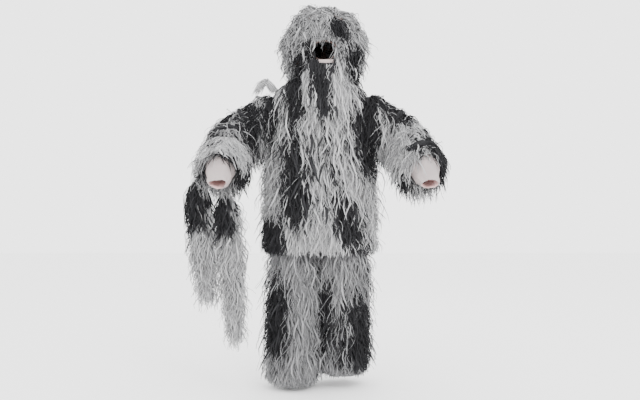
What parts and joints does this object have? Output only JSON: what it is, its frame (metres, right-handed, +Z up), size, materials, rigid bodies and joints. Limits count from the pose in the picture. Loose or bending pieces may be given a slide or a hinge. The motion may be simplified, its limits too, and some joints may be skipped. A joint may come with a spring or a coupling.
{
  "type": "ghillie suit",
  "caption": "Snow ghillie suit of matted white and black yarn: hood with face veil, snap-front jacket, trousers, and a long yarn rifle wrap laid over one forearm.",
  "frame": {"origin": "centre of the jacket's neck opening, where the suit rests on the wearer's neck and shoulders", "axes": "+Z up, the suit faces -Y, the wearer's left is +X"},
  "size_m": [1.1254, 0.5641, 1.7879],
  "materials": {
    "white_yarn": "matted off-white and light grey yarn",
    "grey_yarn": "matted light grey yarn in shade",
    "black_yarn": "matted black yarn",
    "pale_cloth": "smooth thin white knit, faintly warm",
    "dark_net": "dark mesh net",
    "pale_net": "off-white mesh net",
    "elastic_web": "ribbed white elastic and tape",
    "snap_metal": "pressed steel snap"
  },
  "bodies": {
    "jacket": {"jacket_back_pile": "white_yarn", "jacket_right_front_pile": "white_yarn", "jacket_left_front_pile": "white_yarn", "jacket_back_lining": "pale_net", "jacket_right_front_lining": "pale_net", "jacket_left_front_lining": "pale_net", "front_underlap": "pale_cloth", "snap_stud_1": "snap_metal", "snap_stud_2": "snap_metal", "snap_stud_3": "snap_metal", "snap_stud_4": "snap_metal", "collar": "pale_cloth", "hanging_loop": "elastic_web", "jacket_right_skirt": "white_yarn", "jacket_left_skirt": "white_yarn", "trousers_seat": "grey_yarn", "waistband": "pale_cloth", "waist_elastic": "elastic_web", "waist_drawcord": "elastic_web", "right_shoulder_gusset": "white_yarn", "left_shoulder_gusset": "white_yarn", "right_hip_gusset": "grey_yarn", "left_hip_gusset": "grey_yarn", "hood_cape": "white_yarn"},
    "front_flap": {"flap_cloth": "pale_cloth", "flap_pile": "white_yarn", "snap_socket_1": "snap_metal", "snap_socket_2": "snap_metal", "snap_socket_3": "snap_metal", "snap_socket_4": "snap_metal"},
    "hood": {"hood_pile": "white_yarn", "hood_lining": "dark_net", "eye_opening_binding": "dark_net", "hood_drawcord": "elastic_web"},
    "face_veil": {"veil_pile": "black_yarn", "veil_band": "pale_cloth"},
    "right_upper_arm": {"right_upper_sleeve": "black_yarn", "right_elbow_gusset": "white_yarn"},
    "right_forearm": {"right_forearm_sleeve": "white_yarn", "right_under_cuff": "pale_cloth", "right_cuff_elastic": "elastic_web"},
    "left_upper_arm": {"left_upper_sleeve": "black_yarn", "left_elbow_gusset": "white_yarn"},
    "left_forearm": {"left_forearm_sleeve": "white_yarn", "left_under_cuff": "pale_cloth", "left_cuff_elastic": "elastic_web"},
    "right_thigh_leg": {"right_thigh": "grey_yarn", "right_knee_gusset": "grey_yarn"},
    "right_lower_leg": {"right_shin": "grey_yarn", "right_ankle_elastic": "elastic_web"},
    "left_thigh_leg": {"left_thigh": "grey_yarn", "left_knee_gusset": "grey_yarn"},
    "left_lower_leg": {"left_shin": "grey_yarn", "left_ankle_elastic": "elastic_web"},
    "rifle_wrap": {"wrap_saddle": "black_yarn"},
    "wrap_outer_end": {"wrap_outer_tail": "white_yarn"},
    "wrap_inner_end": {"wrap_inner_tail": "white_yarn"}
  },
  "joints": [
    {"name": "hood_fold", "type": "hinge", "parent": "jacket", "child": "hood", "pos_m": [0.006, 0.142, 0.012], "axis": [-1, 0, 0], "range_deg": [0, 80], "deforming": ["hood_cape"]},
    {"name": "veil_lift", "type": "hinge", "parent": "hood", "child": "face_veil", "pos_m": [0.019, -0.1583, 0.0788], "axis": [-1, 0, 0], "range_deg": [0, 75]},
    {"name": "flap_open", "type": "hinge", "parent": "jacket", "child": "front_flap", "pos_m": [0.02, -0.1744, -0.369], "axis": [0, 0, 1], "range_deg": [0, 110]},
    {"name": "right_shoulder_swing", "type": "hinge", "parent": "jacket", "child": "right_upper_arm", "pos_m": [-0.207, 0, -0.143], "axis": [-1, 0, 0], "range_deg": [-30, 70], "deforming": ["right_shoulder_gusset"]},
    {"name": "right_elbow_bend", "type": "hinge", "parent": "right_upper_arm", "child": "right_forearm", "pos_m": [-0.42, -0.06, -0.277], "axis": [-0.3563, -0.4992, 0.7898], "range_deg": [-35, 25], "deforming": ["right_elbow_gusset"]},
    {"name": "left_shoulder_swing", "type": "hinge", "parent": "jacket", "child": "left_upper_arm", "pos_m": [0.207, 0, -0.143], "axis": [-1, 0, 0], "range_deg": [-30, 70], "deforming": ["left_shoulder_gusset"]},
    {"name": "left_elbow_bend", "type": "hinge", "parent": "left_upper_arm", "child": "left_forearm", "pos_m": [0.405, -0.05, -0.273], "axis": [-0.4021, 0.4624, -0.7903], "range_deg": [-35, 25], "deforming": ["left_elbow_gusset"]},
    {"name": "right_hip_swing", "type": "hinge", "parent": "jacket", "child": "right_thigh_leg", "pos_m": [-0.11194, -0.00152, -0.62], "axis": [-1, 0, 0], "range_deg": [-15, 55], "deforming": ["right_hip_gusset", "jacket_right_skirt"]},
    {"name": "right_knee_bend", "type": "hinge", "parent": "right_thigh_leg", "child": "right_lower_leg", "pos_m": [-0.12419, -0.01115, -1.005], "axis": [1, 0, 0], "range_deg": [0, 70], "deforming": ["right_knee_gusset"]},
    {"name": "left_hip_swing", "type": "hinge", "parent": "jacket", "child": "left_thigh_leg", "pos_m": [0.10494, 0.00218, -0.62], "axis": [-1, 0, 0], "range_deg": [-15, 55], "deforming": ["left_hip_gusset", "jacket_left_skirt"]},
    {"name": "left_knee_bend", "type": "hinge", "parent": "left_thigh_leg", "child": "left_lower_leg", "pos_m": [0.1109, 0.01593, -1.005], "axis": [1, 0, 0], "range_deg": [0, 70], "deforming": ["left_knee_gusset"]},
    {"name": "wrap_slide", "type": "slide", "parent": "right_forearm", "child": "rifle_wrap", "axis": [-0.0637, -0.8304, -0.5536], "range_m": [-0.03, 0.12]},
    {"name": "wrap_outer_swing", "type": "hinge", "parent": "rifle_wrap", "child": "wrap_outer_end", "pos_m": [-0.535, -0.198, -0.455], "axis": [1, 0, 0], "range_deg": [-20, 20]},
    {"name": "wrap_inner_swing", "type": "hinge", "parent": "rifle_wrap", "child": "wrap_inner_end", "pos_m": [-0.404, -0.198, -0.53], "axis": [1, 0, 0], "range_deg": [-20, 20]}
  ]
}
